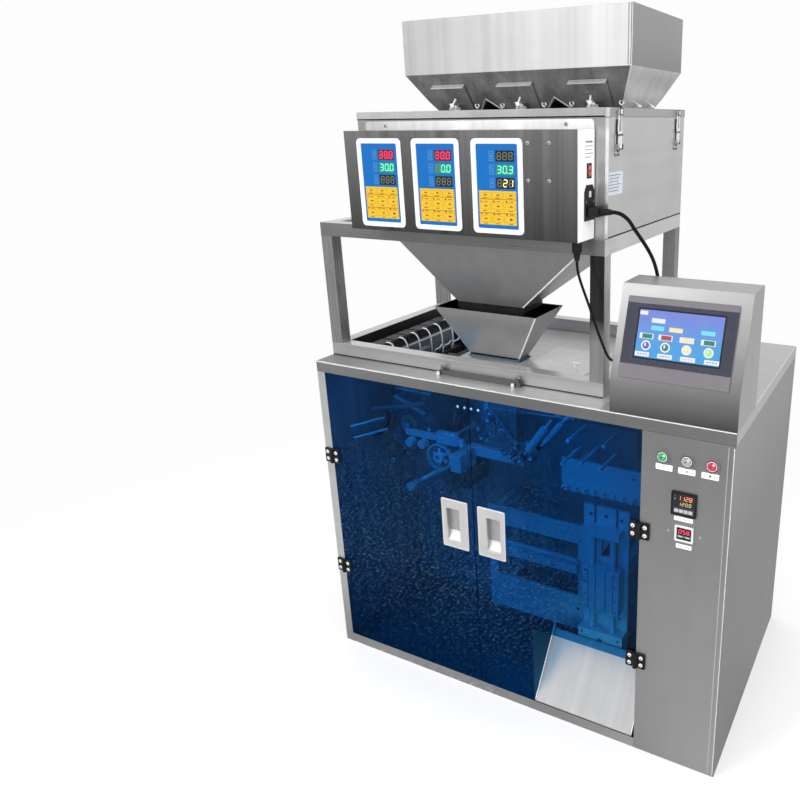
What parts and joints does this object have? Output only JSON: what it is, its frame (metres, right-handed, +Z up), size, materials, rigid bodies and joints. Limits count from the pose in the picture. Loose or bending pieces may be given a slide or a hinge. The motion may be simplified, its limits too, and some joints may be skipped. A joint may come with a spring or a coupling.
{
  "type": "weighing and pouch sealing machine",
  "caption": "Stainless cabinet with tinted blue doors, a touch panel box, and a weigher on a tube stand with displays, feed hopper and funnels above.",
  "frame": {"origin": "middle of the footprint at floor level", "axes": "+Z up, -Y towards the doors, +X towards the control panel side"},
  "size_m": [0.966, 0.594, 1.472],
  "materials": {
    "steel": "brushed stainless steel",
    "bright_steel": "bright stainless steel",
    "aluminium": "machined",
    "black_plastic": "moulded",
    "rubber": "matte",
    "tinted_door": "blue tinted acrylic sheet",
    "display": "membrane front with lit digits",
    "film": "packing film",
    "red_plastic": "moulded",
    "green_plastic": "moulded"
  },
  "bodies": {
    "frame": {"top_plate": "steel", "base_tray": "steel", "left_side_panel": "steel", "right_side_panel": "steel", "rear_panel": "steel", "mechanism_plate": "steel", "control_panel": "steel", "stand_frame": "steel", "clamp_bar": "steel", "weigher_housing": "steel", "weigher_lid": "steel", "control_box": "steel", "collecting_funnel": "steel", "hmi_box": "steel", "weigh_bucket_bank": "bright_steel", "feed_hopper": "bright_steel", "throat_hopper": "bright_steel", "discharge_chute": "bright_steel", "slide_unit": "aluminium", "transport_frame": "aluminium", "pneumatic_plate": "aluminium", "valve_manifold": "aluminium", "temperature_controller": "black_plastic", "batch_counter": "black_plastic", "left_door_hinge_lower": "black_plastic", "left_door_hinge_upper": "black_plastic", "right_door_hinge_lower": "black_plastic", "right_door_hinge_upper": "black_plastic", "power_inlet": "black_plastic", "signal_connector": "black_plastic", "hmi_panel": "black_plastic", "gear_motor": "black_plastic", "power_plug": "rubber", "power_cord": "rubber", "signal_cable": "rubber", "display_module_1": "display", "display_module_2": "display", "display_module_3": "display"},
    "left_door_assembly": {"left_door": "tinted_door", "left_door_handle": "aluminium"},
    "right_door_assembly": {"right_door": "tinted_door", "right_door_handle": "aluminium"},
    "power_button_cap": {"power_button": "green_plastic"},
    "start_button_cap": {"start_button": "bright_steel"},
    "stop_button_cap": {"stop_button": "red_plastic"},
    "rocker": {"rocker_switch": "red_plastic"},
    "gate_1": {"slide_gate_1": "bright_steel"},
    "gate_2": {"slide_gate_2": "bright_steel"},
    "gate_3": {"slide_gate_3": "bright_steel"},
    "latch_front": {"front_latch": "bright_steel"},
    "latch_rear": {"rear_latch": "bright_steel"},
    "flap_1": {"bucket_flap_1": "bright_steel"},
    "flap_2": {"bucket_flap_2": "bright_steel"},
    "flap_3": {"bucket_flap_3": "bright_steel"},
    "film_reel": {"film_roll": "film"},
    "roller_1": {"guide_roller_1": "aluminium"},
    "roller_2": {"guide_roller_2": "aluminium"},
    "jaw_front": {"front_seal_jaw": "aluminium"},
    "jaw_rear": {"rear_seal_jaw": "aluminium"},
    "lift_carriage": {"carriage": "aluminium"}
  },
  "joints": [
    {"name": "left_door_hinge", "type": "hinge", "parent": "frame", "child": "left_door_assembly", "pos_m": [-0.4607, -0.2863, 0.378], "axis": [0, 0, -1], "range_deg": [0, 105]},
    {"name": "right_door_hinge", "type": "hinge", "parent": "frame", "child": "right_door_assembly", "pos_m": [0.3097, -0.2863, 0.378], "axis": [0, 0, 1], "range_deg": [0, 105]},
    {"name": "power_button_press", "type": "slide", "parent": "frame", "child": "power_button_cap", "axis": [0, 1, 0], "range_m": [0, 0.003], "stiffness_N_per_m": 400},
    {"name": "start_button_press", "type": "slide", "parent": "frame", "child": "start_button_cap", "axis": [0, 1, 0], "range_m": [0, 0.003], "stiffness_N_per_m": 400},
    {"name": "stop_button_press", "type": "slide", "parent": "frame", "child": "stop_button_cap", "axis": [0, 1, 0], "range_m": [0, 0.003], "stiffness_N_per_m": 400},
    {"name": "rocker_tilt", "type": "hinge", "parent": "frame", "child": "rocker", "pos_m": [0.1855, -0.249, 1.19], "axis": [0, 1, 0], "range_deg": [-8, 8]},
    {"name": "gate_1_slide", "type": "slide", "parent": "frame", "child": "gate_1", "axis": [0, -0.607, 0.7947], "range_m": [0, 0.025]},
    {"name": "gate_2_slide", "type": "slide", "parent": "frame", "child": "gate_2", "axis": [0, -0.607, 0.7947], "range_m": [0, 0.025]},
    {"name": "gate_3_slide", "type": "slide", "parent": "frame", "child": "gate_3", "axis": [0, -0.607, 0.7947], "range_m": [0, 0.025]},
    {"name": "front_latch_swing", "type": "hinge", "parent": "frame", "child": "latch_front", "pos_m": [0.2125, -0.173, 1.228], "axis": [0, 1, 0], "range_deg": [0, 150]},
    {"name": "rear_latch_swing", "type": "hinge", "parent": "frame", "child": "latch_rear", "pos_m": [0.2125, 0.163, 1.228], "axis": [0, 1, 0], "range_deg": [0, 150]},
    {"name": "flap_1_drop", "type": "hinge", "parent": "frame", "child": "flap_1", "pos_m": [-0.1895, 0.062, 1.1625], "axis": [1, 0, 0], "range_deg": [0, 70], "stiffness_Nm_per_rad": 0.12, "springref_deg": -74.48},
    {"name": "flap_2_drop", "type": "hinge", "parent": "frame", "child": "flap_2", "pos_m": [-0.0325, 0.062, 1.1625], "axis": [1, 0, 0], "range_deg": [0, 70], "stiffness_Nm_per_rad": 0.12, "springref_deg": -74.48},
    {"name": "flap_3_drop", "type": "hinge", "parent": "frame", "child": "flap_3", "pos_m": [0.1245, 0.062, 1.1625], "axis": [1, 0, 0], "range_deg": [0, 70], "stiffness_Nm_per_rad": 0.12, "springref_deg": -74.48},
    {"name": "film_roll_spin", "type": "hinge", "parent": "frame", "child": "film_reel", "pos_m": [-0.365, -0.036, 0.56], "axis": [0, 1, 0], "continuous": true},
    {"name": "roller_1_spin", "type": "hinge", "parent": "frame", "child": "roller_1", "pos_m": [-0.421, -0.036, 0.452], "axis": [0, 1, 0], "continuous": true},
    {"name": "roller_2_spin", "type": "hinge", "parent": "frame", "child": "roller_2", "pos_m": [-0.269, -0.036, 0.52], "axis": [0, 1, 0], "continuous": true},
    {"name": "front_jaw_slide", "type": "slide", "parent": "frame", "child": "jaw_front", "axis": [0, 1, 0], "range_m": [0, 0.0165]},
    {"name": "rear_jaw_slide", "type": "slide", "parent": "frame", "child": "jaw_rear", "axis": [0, 1, 0], "range_m": [-0.0165, 0]},
    {"name": "carriage_lift", "type": "slide", "parent": "frame", "child": "lift_carriage", "axis": [0, 0, 1], "range_m": [-0.05, 0.07]}
  ],
  "couplings": [
    {"joint": "rear_jaw_slide", "follows": "front_jaw_slide", "ratio": -1}
  ]
}
